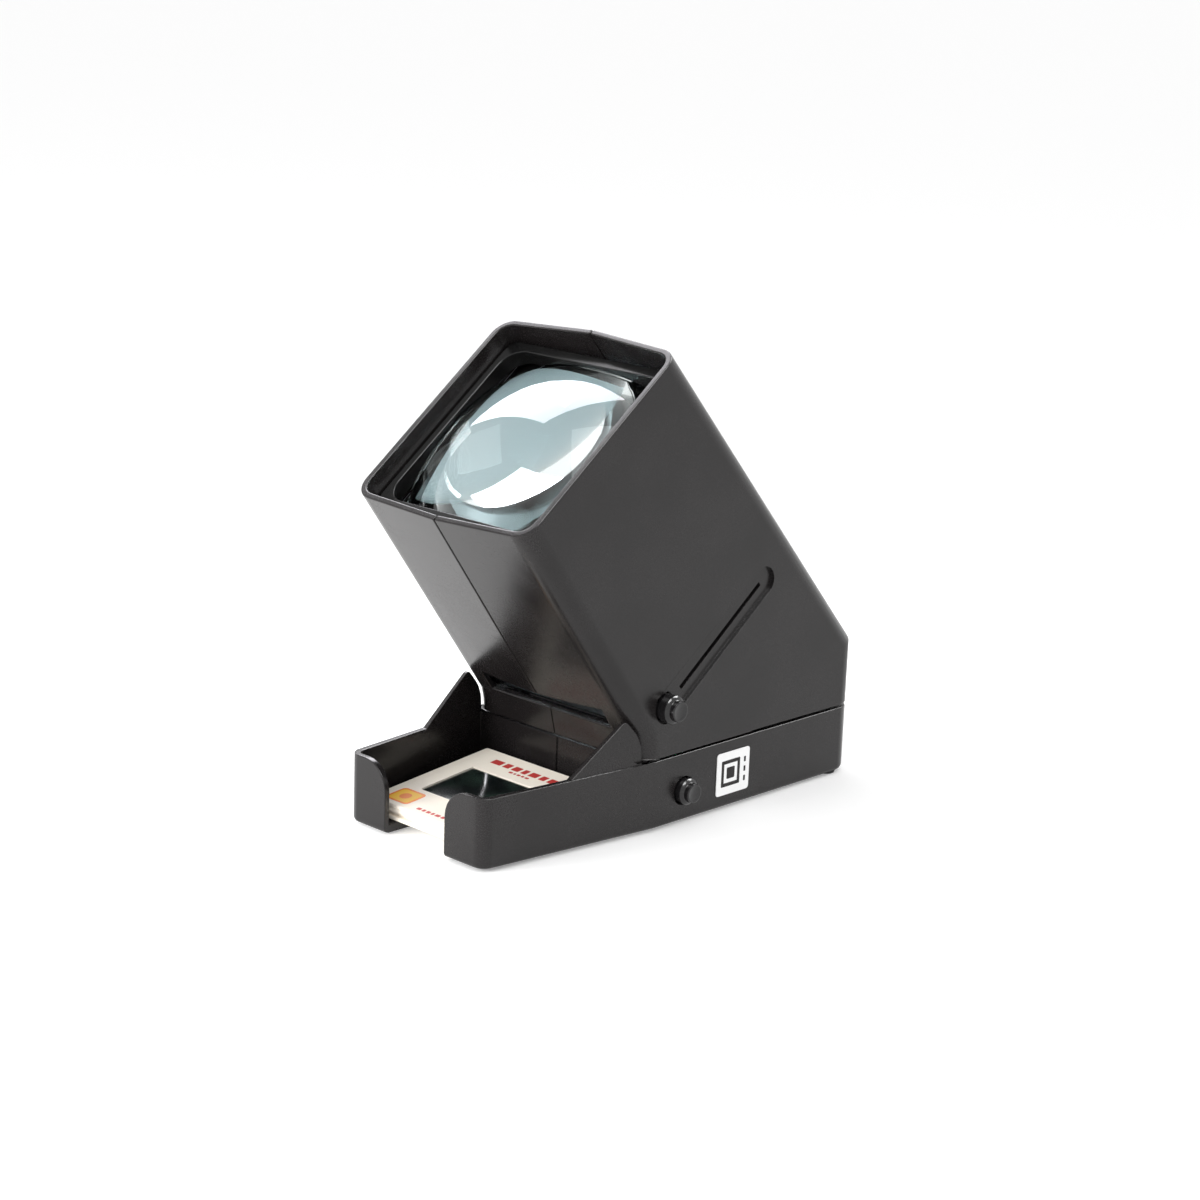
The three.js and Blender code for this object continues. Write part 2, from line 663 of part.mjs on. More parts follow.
// The stop gate's lip holds the slide up; its tab is pushed down by the release button's finger.
function stopGate() {
  const lip = solid(inGate(box(-18, 18, -27.7, -26.1, -4.4, 1.1)));
  const arm = solid(inGate(box(-18, 18, -35.5, -26.1, -4.4, -3.0)));
  const hub = solid(inGate(rodX(1.9, -18, 18, 16).translate(0, PIVOT.s, PIVOT.n)));
  const tab = solid(inGate(box(17, 28.9, -30.2, -27, -4.4, -3.0)));
  const wedge = outline([[25.3, -3.1, 0], [28.9, -3.1, 0], [25.3, -1.1, 0]]);
  const cam = solid(inGate(prismY(wedge, -30.2, -27)));
  const bore = solid(inGate(rodX(1.1, -22, 22, 12).translate(0, PIVOT.s, PIVOT.n)));
  return cut(join(lip, arm, hub, tab, cam), bore);
}
add("stop_gate", stopGate(), BUTTON);
add("stop_gate_pin", inGate(rodX(0.85, -22.5, 22.5, 12).translate(0, PIVOT.s, PIVOT.n)), STEEL);
add("stop_gate_spring", inGate(coil(1.55, 0.25, 20.8, 22.8, 3).translate(0, PIVOT.s, PIVOT.n)), STEEL);

// ---- push buttons ----
const BORE_END = 40;

// Turned about X: a small dished cap on a wider collar outside, and a flange behind the wall.
function pushCap({ radius, cap, face, out }, flange) {
  const tip = HALF_W + out;
  const [flangeIn, flangeOut] = flange;
  const profile = [
    [0, flangeIn],
    [radius + 0.75, flangeIn],
    [radius + 0.75, flangeOut],
    [radius, flangeOut],
    [radius, tip - 2.6],
    [radius - 0.4, tip - 2.1],
    [cap + 0.2, tip - 1.9],
    [cap, tip - 1.7],
    [cap, tip - 0.45],
    [cap - 0.15, tip - 0.12],
    [cap - 0.4, tip],
    [face, tip],
    [face - 0.5, tip - 0.3],
    [0, tip - 0.45],
  ].map(([r, at]) => new THREE.Vector2(r, at));
  return solid(new THREE.LatheGeometry(profile, 28).rotateX(Math.PI / 2).rotateY(Math.PI / 2));
}

const movedTo = (body, [y, z]) => geometryOf(body).translate(0, y, z);
const RELEASE_AT = gatePoint(RELEASE.s, RELEASE.n);
const CORE_AT = gatePoint(RELEASE_CORE.s, RELEASE_CORE.n);
const POWER_AT = [POWER.y, POWER.z];

// A barrel behind the cap, with a bore for the spring.
function plunger(cap, capAt, barrelAt, from, to, bore) {
  const barrel = solid(movedTo(solid(rodX(bore + 1.2, from, to, 24)), barrelAt));
  const hollow = solid(movedTo(solid(rodX(bore, from - 1, BORE_END, 24)), barrelAt));
  return cut(solid(movedTo(cap, capAt)).add(barrel), hollow);
}

function releaseButton() {
  const body = plunger(pushCap(RELEASE, [33.9, 35.3]), RELEASE_AT, CORE_AT, 29.5, 34.5, 2.6);
  const finger = solid(inGate(box(29.5, 31.4, -30.1, -27.1, -2.4, -1)));
  return join(body, finger);
}
add("release_button", releaseButton(), BUTTON);

function guidePin(from, collarTo, to) {
  return join(solid(rodX(2.1, from, collarTo, 14)), solid(rodX(0.9, from, to, 12)));
}
add("release_guide_pin", movedTo(guidePin(25.4, 26.4, 35.6), CORE_AT), STEEL);
add("release_spring", coil(1.9, 0.3, 26.6, 35.7, 6).translate(0, ...CORE_AT), STEEL);

add("power_button", plunger(pushCap(POWER, [34.2, 35.7]), POWER_AT, POWER_AT, 33, 34.5, 2.6), BUTTON);
add("power_spring", coil(1.9, 0.3, 31.5, 37.4, 4).translate(0, ...POWER_AT), STEEL);

function powerSwitch() {
  const body = solid(box(19, 30.2, POWER.y - 5.4, POWER.y + 5.4, 4.2, 18.6));
  const legs = [-4, 0, 4].map((y) => solid(box(15.5, 19.2, POWER.y + y - 0.4, POWER.y + y + 0.4, 9, 10)));
  return join(body, ...legs, solid(movedTo(guidePin(30, 31.2, 36.8), POWER_AT)));
}
add("power_switch", powerSwitch(), INNER);

// ---- light box ----
function lightBox() {
  const ring = (half, n) => squareOutline(half, half, 2, 2).map((p) => new THREE.Vector3(p.x, p.y, n));
  const outer = new ConvexGeometry([...ring(22, -7), ...ring(19, -22)]);
  const inner = new ConvexGeometry([...ring(20.7, -6), ...ring(17.4, -24)]);
  return cut(solid(inGate(outer)), solid(inGate(inner)));
}
add("light_box", lightBox(), WHITE);
add("diffuser", inGate(prismZ(squareOutline(22, 22, 2, 2), -6.6, -3.2)), OPAL);
add("led_board", inGate(prismZ(squareOutline(19, 19, 1.5, 2), -24, -22.4)), BOARD);
[[-8, -8], [8, -8], [-8, 8], [8, 8]].forEach(([x, s], i) => {
  add(`led_${i + 1}`, inGate(box(x - 2.5, x + 2.5, s - 2.5, s + 2.5, -22.1, -20.5)), OPAL);
});

// ---- batteries: four cells in a row, joined in series ----
for (let i = 0; i < 4; i++) {
  const profile = [
    [0, -CELL.length / 2],
    [CELL.radius - 0.4, -CELL.length / 2],
    [CELL.radius, -CELL.length / 2 + 0.4],
    [CELL.radius, CELL.length / 2 - 0.4],
    [CELL.radius - 0.4, CELL.length / 2],
    [2.6, CELL.length / 2],
    [2.6, CELL.length / 2 + 1.2],
    [0, CELL.length / 2 + 1.2],
  ].map(([r, at]) => new THREE.Vector2(r, at));
  const cell = new THREE.LatheGeometry(profile, 24).rotateZ(i % 2 ? Math.PI / 2 : -Math.PI / 2);
  add(`battery_${i + 1}`, cell.translate(0, CELL.first + CELL.pitch * i, CELL.z), CELL_WRAP);
}

// Contact plates stand against the bay's walls; each bridges the cells it is named after.
function contactPlate(side, first, last) {
  const [y0, y1] = [first, last].map((i) => CELL.first + CELL.pitch * (i - 1));
  const [x0, x1] = side > 0 ? [28.2, 28.8] : [-28.8, -28.2];
  let plate = solid(box(x0, x1, y0 - 5, y1 + 5, 5.4, 16));
  for (let i = first; i <= last; i++) {
    const bump = (i % 2 ? 1 : -1) === side ? 1.6 : 2.8; // a dimple at the cap, a cone at the flat end
    const cone = new THREE.CylinderGeometry(1.2, 3.6, bump - 0.3, 12).rotateZ((side * Math.PI) / 2);
    const x = side * (28.3 - (bump - 0.3) / 2);
    plate = plate.add(solid(cone.translate(x, CELL.first + CELL.pitch * (i - 1), CELL.z)));
  }
  return plate;
}
add("battery_contact_right_1_2", contactPlate(1, 1, 2), STEEL);
add("battery_contact_right_3_4", contactPlate(1, 3, 4), STEEL);
add("battery_contact_left_1", contactPlate(-1, 1, 1), STEEL);
add("battery_contact_left_2_3", contactPlate(-1, 2, 3), STEEL);
add("battery_contact_left_4", contactPlate(-1, 4, 4), STEEL);

// ---- badge on the right side of the base ----
add(
  "side_badge",
  prismX(
    outline([[13.3, 5.3, 1], [28.9, 5.3, 1], [28.9, 19.6, 1], [13.3, 19.6, 1]], 3),
    HALF_W + 0.05,
    HALF_W + 0.35,
  ),
  WHITE,
);

// ---- mounted slides in the tray, a little fanned ----
const STACK = [
  { x: -0.6, y: -0.4, turn: 0.5 },
  { x: 0.9, y: 0.5, turn: -1.2 },
  { x: -0.3, y: 0.2, turn: 1.0 },
  { x: 0.0, y: 0, turn: 0 },
];
const STACK_PITCH = SLIDE_THICK + 0.05;
const STACK_FROM_LIP = 3.1;
const APERTURE = [34.2, 22.9];

STACK.forEach(({ x, y, turn }, i) => {
  const centreY = -HALF + WALL + STACK_FROM_LIP + SLIDE / 2;
  const lift = 0.35 + i * STACK_PITCH;
  const onFloor = place(0, centreY, floorZ(centreY)).multiply(new THREE.Matrix4().makeRotationX(FLOOR_TILT));
  const onStack = (geometry) =>
    geometry.rotateZ(THREE.MathUtils.degToRad(turn)).translate(x, y, lift).applyMatrix4(onFloor);
  const hole = squareOutline(APERTURE[0] / 2, APERTURE[1] / 2, 1, 2);
  const mount = prismZ(squareOutline(SLIDE / 2, SLIDE / 2, 0.6, 2), 0, SLIDE_THICK, 0, [hole]);
  add(`slide_mount_${i + 1}`, onStack(mount), MOUNT);
  const [filmX, filmY] = APERTURE.map((side) => side / 2 - 0.3);
  const film = box(-filmX, filmX, -filmY, filmY, 0.5, 0.8);
  add(`slide_film_${i + 1}`, onStack(film), FILM);
});

export default viewer;
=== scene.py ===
import math

import bmesh
import bpy
from mathutils import Matrix, Vector


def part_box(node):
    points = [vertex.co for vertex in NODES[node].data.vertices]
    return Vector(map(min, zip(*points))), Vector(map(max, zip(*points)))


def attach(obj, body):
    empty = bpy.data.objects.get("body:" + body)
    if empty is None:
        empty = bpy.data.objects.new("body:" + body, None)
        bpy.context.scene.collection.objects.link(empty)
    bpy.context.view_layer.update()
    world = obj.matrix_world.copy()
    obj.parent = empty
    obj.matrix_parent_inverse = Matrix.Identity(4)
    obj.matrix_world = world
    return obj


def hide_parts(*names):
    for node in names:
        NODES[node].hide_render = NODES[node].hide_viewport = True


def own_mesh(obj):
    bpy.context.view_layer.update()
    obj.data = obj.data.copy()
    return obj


MM = 0.001

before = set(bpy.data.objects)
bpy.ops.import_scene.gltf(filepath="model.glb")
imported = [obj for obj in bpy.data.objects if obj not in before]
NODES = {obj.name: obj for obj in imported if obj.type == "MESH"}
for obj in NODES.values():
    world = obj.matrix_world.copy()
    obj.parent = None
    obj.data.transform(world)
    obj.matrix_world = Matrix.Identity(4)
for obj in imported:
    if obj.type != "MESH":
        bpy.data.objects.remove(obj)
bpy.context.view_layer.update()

# ---- camera ----
CAMERA_AT = (569.9, -601.0, 284.7)  # mm
CAMERA_AZIMUTH, CAMERA_ELEVATION, CAMERA_ROLL = 43.64, 14.872, -2.129  # degrees
CAMERA_LENS, CAMERA_SENSOR = 80.3, 36  # mm
CAMERA_CLIP = (0.01, 100)


def make_camera():
    azimuth, elevation, roll = map(math.radians, (CAMERA_AZIMUTH, CAMERA_ELEVATION, CAMERA_ROLL))
    back = Vector(
        (
            math.sin(azimuth) * math.cos(elevation),
            -math.cos(azimuth) * math.cos(elevation),
            math.sin(elevation),
        )
    )
    level = Vector((0, 0, 1)).cross(back).normalized()
    up = back.cross(level)
    right = level * math.cos(roll) - up * math.sin(roll)
    up = back.cross(right)
    camera = bpy.data.objects.new("camera", bpy.data.cameras.new("camera"))
    bpy.context.scene.collection.objects.link(camera)
    turn = Matrix((right, up, back)).transposed().to_4x4()
    camera.matrix_world = Matrix.Translation(Vector(CAMERA_AT) * MM) @ turn
    camera.data.lens = CAMERA_LENS
    camera.data.sensor_width = CAMERA_SENSOR
    camera.data.clip_start, camera.data.clip_end = CAMERA_CLIP
    bpy.context.scene.camera = camera


make_camera()

# The gate frame: X across, Y up the slope of a slide being viewed, Z along the optical axis to the eye.
TILT = math.radians(38)
GATE_AT = (0, 11.1, 57.0)  # mm
GATE = Matrix.Translation(Vector(GATE_AT) * MM) @ Matrix.Rotation(TILT, 4, "X") @ Matrix.Scale(MM, 4)
GATE_NORMAL = Vector((0, -math.sin(TILT), math.cos(TILT)))


# ---- material helpers ----
class Nodes:
    """A new material's node tree, with short ways to add and join nodes."""

    def __init__(self, name):
        self.material = bpy.data.materials.new(name)
        self.material.use_nodes = True
        self.tree = self.material.node_tree
        self.shader = self.tree.nodes["Principled BSDF"]
        texture = self.tree.nodes.new("ShaderNodeTexCoord")
        self.coords, self.face_normal = texture.outputs["Object"], texture.outputs["Normal"]

    def add(self, kind, **settings):
        """A shader node; each setting is one of its inputs, or else one of its properties."""
        node = self.tree.nodes.new("ShaderNode" + kind)
        for key, value in settings.items():
            if key in node.inputs:
                self.put(value, node.inputs[key])
            else:
                setattr(node, key, value)
        return node

    def put(self, value, socket):
        if isinstance(value, bpy.types.NodeSocket):
            self.tree.links.new(value, socket)
        else:
            socket.default_value = value

    def set(self, **values):
        """Values or links for the shader's own sockets, with _ for a space in their names."""
        for key, value in values.items():
            self.put(value, self.shader.inputs[key.replace("_", " ")])

    def noise(self, size_mm, detail=3.0, roughness=0.6, stretch=(1, 1, 1)):
        at = self.coords
        if stretch != (1, 1, 1):
            at = self.add("Mapping", Vector=at, Scale=stretch).outputs[0]
        return self.add(
            "TexNoise", Vector=at, Scale=1 / (size_mm * MM), Detail=detail, Roughness=roughness
        ).outputs["Fac"]

    def ramp(self, fac, low, high, low_at=0.3, high_at=0.7):
        node = self.add("MapRange", Value=fac)
        for name, value in zip(("From Min", "From Max", "To Min", "To Max"), (low_at, high_at, low, high)):
            node.inputs[name].default_value = value
        return node.outputs["Result"]

    def mix(self, fac, a, b):
        node = self.tree.nodes.new("ShaderNodeMix")
        node.data_type = "RGBA"
        self.put(fac, node.inputs["Factor"])
        for value, socket in ((a, node.inputs[6]), (b, node.inputs[7])):
            self.put(value if isinstance(value, bpy.types.NodeSocket) else (*value, 1), socket)
        return node.outputs[2]

    def math(self, operation, a, b=0.0):
        node = self.add("Math", operation=operation)
        self.put(a, node.inputs[0])
        self.put(b, node.inputs[1])
        return node.outputs[0]

    def vector(self, operation, a, b):
        node = self.add("VectorMath", operation=operation)
        self.put(a, node.inputs[0])
        self.put(b, node.inputs[1])
        return node.outputs["Value" if operation in ("DOT_PRODUCT", "DISTANCE") else "Vector"]

    def bump(self, height, depth_mm):
        return self.add("Bump", Height=height, Strength=1.0, Distance=depth_mm * MM).outputs[0]


def plastic_nodes(name, color, roughness, grain_mm=0.35, grain_depth=0.006, specular=0.5):
    """Satin moulded plastic: a fine spark-eroded grain, slow tone and gloss drift, faint rubbed spots."""
    n = Nodes(name)
    slow = n.noise(38, 2.0)
    fine = n.noise(grain_mm, 2.0, 0.7)
    lighter = tuple(min(1.0, c * 1.35 + 0.0015) for c in color)
    rubbed = n.ramp(n.noise(9, 4.0, 0.7), 0.0, 1.0, 0.52, 0.74)
    tone = n.mix(n.ramp(slow, 0.0, 1.0, 0.35, 0.65), color, lighter)
    gloss = n.math("ADD", n.ramp(slow, -0.02, 0.03, 0.35, 0.65), n.math("MULTIPLY", rubbed, -0.035))
    gloss = n.math("ADD", gloss, n.ramp(fine, roughness - 0.03, roughness + 0.04))
    n.set(Base_Color=tone, Roughness=gloss, Specular_IOR_Level=specular)
    n.set(Normal=n.bump(fine, grain_depth))
    return n, tone


def moulded_plastic(*settings, **named):
    return plastic_nodes(*settings, **named)[0].material


def plastic_with_painted_light(painted_light_tone, low, high, *settings, **named):
    """Moulded plastic with painted light: pale on faces that look in on the optical axis between two
    heights along it, mm, so the view through the lens looks bright.
    """
    n, tone = plastic_nodes(*settings, **named)
    offset = n.vector("SUBTRACT", n.coords, GATE.translation)
    along = n.vector("DOT_PRODUCT", offset, GATE_NORMAL)
    on_axis = n.add("VectorMath", operation="SCALE")
    on_axis.inputs[0].default_value = GATE_NORMAL
    n.put(along, on_axis.inputs["Scale"])
    across = n.vector("SUBTRACT", offset, on_axis.outputs["Vector"])
    inward = n.math("LESS_THAN", n.vector("DOT_PRODUCT", n.face_normal, across), 0.0)
    above = n.math("GREATER_THAN", along, low * MM)
    below = n.math("LESS_THAN", along, high * MM)
    painted_light_faces = n.math("MULTIPLY", inward, n.math("MULTIPLY", above, below))
    # painted light: these inner faces are made pale to stand in for the bright view through the lens
    n.set(Base_Color=n.mix(painted_light_faces, tone, painted_light_tone))
    return n.material


def metal(name, color, roughness, brushed=(1, 1, 1)):
    """Bare or plated metal, with streaks drawn out where brushed is uneven."""
    n = Nodes(name)
    streaks = n.noise(0.5, 3.0, 0.6, brushed)
    n.set(Base_Color=n.mix(streaks, tuple(c * 0.8 for c in color), color), Metallic=1.0)
    n.set(Roughness=n.ramp(streaks, roughness - 0.06, roughness + 0.1))
    n.set(Normal=n.bump(streaks, 0.004))
    return n.material


def rubber():
    """Matt black rubber, a little dusty."""
    n = Nodes("foot_rubber")
    fine = n.noise(0.4, 4.0)
    dust = n.ramp(n.noise(2.5, 5.0, 0.7), 0.0, 0.35, 0.5, 0.8)
    tone = n.mix(dust, (0.018, 0.018, 0.018), (0.09, 0.085, 0.08))
    n.set(Base_Color=tone, Roughness=n.ramp(fine, 0.75, 0.95))
    n.set(Normal=n.bump(fine, 0.03))
    return n.material


def lens_acrylic():
    n = Nodes("lens_acrylic")
    n.set(Base_Color=(0.93, 0.985, 0.98, 1), Roughness=0.0, IOR=1.49, Transmission_Weight=1.0)
    return n.material


def opal(name, glow, strength):
    """Frosted white acrylic or phosphor that glows evenly, with a slight cloudiness."""
    n = Nodes(name)
    cloud = n.noise(6, 3.0)
    n.set(Base_Color=n.mix(cloud, (0.86, 0.90, 0.92), (0.93, 0.95, 0.96)), Roughness=0.4)
    n.set(Emission_Color=(*glow, 1), Emission_Strength=strength)
    n.set(Normal=n.bump(n.noise(0.3, 2.0), 0.004))
    return n.material


def card(name, base, fibre):
    """Slide mount card: short fibres, a little mottling, matt."""
    n = Nodes(name)
    fibres = n.noise(0.5, 5.0, 0.75, (1, 3, 1))
    mottle = n.noise(7, 3.0)
    tone = n.mix(n.ramp(fibres, 0.0, 1.0, 0.35, 0.75), base, fibre)
    tone = n.mix(n.ramp(mottle, 0.0, 0.35, 0.45, 0.75), tone, tuple(c * 0.9 for c in fibre))
    n.set(Base_Color=tone, Roughness=n.ramp(mottle, 0.5, 0.66), Specular_IOR_Level=0.2)
    n.set(Normal=n.bump(fibres, 0.01))
    return n.material


def film():
    """Developed film: nearly black, glossy, with a dim green-grey picture in it."""
    n = Nodes("developed_film")
    shapes = n.noise(9, 4.0, 0.6)
    tone = n.mix(n.ramp(shapes, 0.0, 1.0, 0.42, 0.66), (0.004, 0.006, 0.006), (0.018, 0.03, 0.024))
    n.set(Base_Color=tone, Roughness=n.ramp(n.noise(14, 2.0), 0.05, 0.12))
    n.set(Normal=n.bump(n.noise(16, 1.0), 0.05))
    return n.material


CELL_BARE = 24.3  # mm from the middle, where the sleeve ends
CELL_BAND_AT, CELL_BAND_HALF = 18, 1.2  # mm


def cell():
    """A dry cell lying along X: a dark sleeve with a pale band near both ends, bare metal at both ends."""
    n = Nodes("cell_sleeve")
    x = n.add("SeparateXYZ", Vector=n.coords).outputs["X"]
    across = n.math("ABSOLUTE", x)
    end = n.math("GREATER_THAN", across, CELL_BARE * MM)
    off_band = n.math("ABSOLUTE", n.math("SUBTRACT", across, CELL_BAND_AT * MM))
    band = n.math("LESS_THAN", off_band, CELL_BAND_HALF * MM)
    sleeve = n.mix(n.noise(4, 2.0), (0.030, 0.042, 0.055), (0.036, 0.050, 0.064))
    tone = n.mix(end, n.mix(band, sleeve, (0.55, 0.55, 0.52)), (0.66, 0.65, 0.62))
    n.set(Base_Color=tone, Metallic=end, Roughness=n.ramp(n.noise(1.2, 3.0), 0.22, 0.34))
    return n.material


def circuit_board():
    """Green board with lighter tracks."""
    n = Nodes("circuit_board")
    tracks = n.add("TexWave", Vector=n.coords, Scale=180.0, Distortion=2.0).outputs["Fac"]
    tone = n.mix(n.ramp(tracks, 0.0, 1.0, 0.78, 0.82), (0.012, 0.085, 0.035), (0.03, 0.16, 0.06))
    n.set(Base_Color=tone, Roughness=0.3)
    n.set(Normal=n.bump(tracks, 0.02))
    return n.material


def print_ink(name, color, roughness):
    """A thin printed layer, a little uneven where the screen left less ink."""
    n = Nodes(name)
    ink = n.noise(0.35, 4.0, 0.7)
    n.set(Base_Color=n.mix(n.ramp(ink, 0.0, 0.5), color, tuple(min(1, c * 1.2 + 0.02) for c in color)))
    n.set(Roughness=n.ramp(ink, roughness - 0.05, roughness + 0.1), Normal=n.bump(ink, 0.004))
    n.set(Specular_IOR_Level=0.15)
    return n.material


# ---- materials ----
SHELL_FINISH = ((0.0095, 0.0082, 0.0083), 0.25)  # colour and roughness of the outer plastic
SHELL_SPECULAR = 0.36
# Painted light: the hood's inner faces between these heights are made pale so the view through the lens
# looks bright.
PAINTED_LIGHT_TONE = (0.58, 0.65, 0.66)
PAINTED_LIGHT_LOW, PAINTED_LIGHT_HIGH = 14, 74  # mm above the gate, along the optical axis

HOUSING = moulded_plastic("housing_abs", *SHELL_FINISH, specular=SHELL_SPECULAR)
HOOD = plastic_with_painted_light(
    PAINTED_LIGHT_TONE, PAINTED_LIGHT_LOW, PAINTED_LIGHT_HIGH, "hood_abs", *SHELL_FINISH, specular=SHELL_SPECULAR
)
INNER = moulded_plastic("inner_black", (0.004, 0.004, 0.0042), 0.42, 0.5, 0.01, specular=0.3)
FRAME_BLACK = moulded_plastic(
    "lens_frame_black", (0.004, 0.004, 0.004), 0.16, 0.5, 0.003, specular=0.3
)
BUTTON = moulded_plastic("button_black", (0.006, 0.0055, 0.006), 0.16, 0.4, 0.002)
REFLECTOR = moulded_plastic("reflector_white", (0.82, 0.82, 0.80), 0.45)
STEEL = metal("plated_steel", (0.66, 0.66, 0.68), 0.26)
CONTACT = metal("nickel_contact", (0.70, 0.67, 0.60), 0.3, (1, 6, 1))
SPRING = metal("spring_wire", (0.60, 0.60, 0.62), 0.22, (6, 1, 1))
RUBBER = rubber()
LENS = lens_acrylic()
DIFFUSER = opal("diffuser_opal", (0.84, 0.95, 1.0), 8)
LED = opal("led_phosphor", (1.0, 0.93, 0.62), 4.0)
CARD = card("mount_card", (0.88, 0.80, 0.69), (0.93, 0.87, 0.77))
FILM = film()
CELL = cell()
BOARD = circuit_board()
WHITE_PRINT = print_ink("badge_white", (0.86, 0.86, 0.86), 0.35)
DARK_PRINT = print_ink("badge_dark", (0.020, 0.018, 0.018), 0.35)
RED_PRINT = print_ink("slide_red", (0.46, 0.035, 0.03), 0.5)
ORANGE_PRINT = print_ink("slide_orange", (0.80, 0.20, 0.0), 0.45)
YELLOW_PRINT = print_ink("slide_yellow", (0.93, 0.50, 0.0), 0.45)

# Each node takes the entry of the first key here that its name starts with.
NODE_MATERIALS = {
    "hood_shell": HOOD,
    "base_shell": HOUSING,
    "battery_door": HOUSING,
    "foot_": RUBBER,
    "base_screw": STEEL,
    "base_deck": INNER,
    "magnifier_lens": LENS,
    "lens_": FRAME_BLACK,
    "slide_bed": INNER,
    "gate_front_plate": INNER,
    "stop_gate_pin": STEEL,
    "stop_gate_spring": SPRING,
    "stop_gate": BUTTON,
    "release_button": BUTTON,
    "power_button": BUTTON,
    "release_guide_pin": STEEL,
    "release_spring": SPRING,
    "power_spring": SPRING,
    "power_switch": INNER,
    "light_box": REFLECTOR,
    "diffuser": DIFFUSER,
    "led_board": BOARD,
    "led_": LED,
    "battery_contact": CONTACT,
    "battery_": CELL,
    "side_badge": WHITE_PRINT,
    "slide_mount": CARD,
    "slide_film": FILM,
}
ROUNDING = {  # mm, the radius of each node's moulded or cut edges; a node that isn't here stays sharp
    "hood_shell": 0.45,
    "base_shell": 0.3,
    "battery_door": 0.2,
    "lens_": 0.3,
    "slide_bed": 0.2,
    "gate_front_plate": 0.25,
    "base_deck": 0.3,
    "stop_gate_pin": 0.15,
    "stop_gate_spring": 0,
    "stop_gate": 0.2,
    "light_box": 0.3,
    "diffuser": 0.3,
    "slide_mount": 0.16,
    "foot_": 0.3,
    "side_badge": 0.06,
    "power_switch": 0.25,
    "led_board": 0.15,
    "led_": 0.3,
}

# ---- edges and shading ----
SLOT_HALF_WIDTH = 5.2  # mm
KEEP_TRIANGLES = {"base_shell"}  # its flat faces wrap round openings, so they aren't merged
MERGE_DISTANCE = 1e-6
FLAT_WITHIN = math.radians(0.8)
ROUNDING_STEPS = 3
SHARP_ABOVE, SMOOTH_BELOW = 32, 34  # degrees
FINE_WEIGHT = 0.12  # share of the rounding kept on fine edges


def matching(table, node):
    """The entry for the first key that the node's name starts with."""
    return next((value for key, value in table.items() if node.startswith(key)), None)


def add_group(obj, name, build):
    """Adds a geometry nodes modifier that uses the named group, made once by build."""
    modifier = obj.modifiers.new(name, "NODES")
    modifier.node_group = bpy.data.node_groups.get(name) or build(name)


def geometry_group(name):
    tree = bpy.data.node_groups.new(name, "GeometryNodeTree")
    tree.interface.new_socket("Geometry", in_out="OUTPUT", socket_type="NodeSocketGeometry")
    tree.interface.new_socket("Geometry", in_out="INPUT", socket_type="NodeSocketGeometry")
    source = tree.nodes.new("NodeGroupInput")
    target = tree.nodes.new("NodeGroupOutput")
    return tree, source.outputs[0], target.inputs[0]


def edge_test(tree, operation, degrees):
    """True on the edges whose faces meet at less, or more, than this angle."""
    angle = tree.nodes.new("GeometryNodeInputMeshEdgeAngle")
    test = tree.nodes.new("FunctionNodeCompare")
    test.operation = operation
    test.inputs[1].default_value = math.radians(degrees)
    tree.links.new(angle.outputs[0], test.inputs[0])
    return test.outputs[0]


def smooth_group(name):
    """Shades smooth, with a crease where faces meet at a larger angle."""
    tree, source, target = geometry_group(name)
    faces = tree.nodes.new("GeometryNodeSetShadeSmooth")
    edges = tree.nodes.new("GeometryNodeSetShadeSmooth")
    edges.domain = "EDGE"
    tree.links.new(source, faces.inputs[0])
    tree.links.new(faces.outputs[0], edges.inputs[0])
    tree.links.new(edge_test(tree, "LESS_THAN", SMOOTH_BELOW), edges.inputs["Shade Smooth"])
    tree.links.new(edges.outputs[0], target)
    return tree


def weight_group(name):
    """Marks the sharp edges to be rounded, less on the fine edges round the slot in the hood's side."""
    tree, source, target = geometry_group(name)

    def vector(operation, a, b):
        node = tree.nodes.new("ShaderNodeVectorMath")
        node.operation = operation
        tree.links.new(a, node.inputs[0])
        node.inputs[1].default_value = b
        return node.outputs["Value"] if operation == "DOT_PRODUCT" else node.outputs["Vector"]

    def number(operation, a, *others):
        node = tree.nodes.new("ShaderNodeMath")
        node.operation = operation
        tree.links.new(a, node.inputs[0])
        for value, socket in zip(others, node.inputs[1:]):
            socket.default_value = value
        return node.outputs[0]

    position = tree.nodes.new("GeometryNodeInputPosition").outputs[0]
    off_slot = vector("DOT_PRODUCT", vector("SUBTRACT", position, GATE.translation), GATE_NORMAL)
    near = number("LESS_THAN", number("ABSOLUTE", off_slot), SLOT_HALF_WIDTH * MM)
    weight = number("MULTIPLY_ADD", near, FINE_WEIGHT - 1.0, 1.0)
    sharp = edge_test(tree, "GREATER_THAN", SHARP_ABOVE)
    store = tree.nodes.new("GeometryNodeStoreNamedAttribute")
    store.data_type, store.domain = "FLOAT", "EDGE"
    store.inputs["Name"].default_value = "bevel_weight_edge"
    tree.links.new(source, store.inputs["Geometry"])
    tree.links.new(sharp, store.inputs["Selection"])
    tree.links.new(weight, store.inputs["Value"])
    tree.links.new(store.outputs[0], target)
    return tree


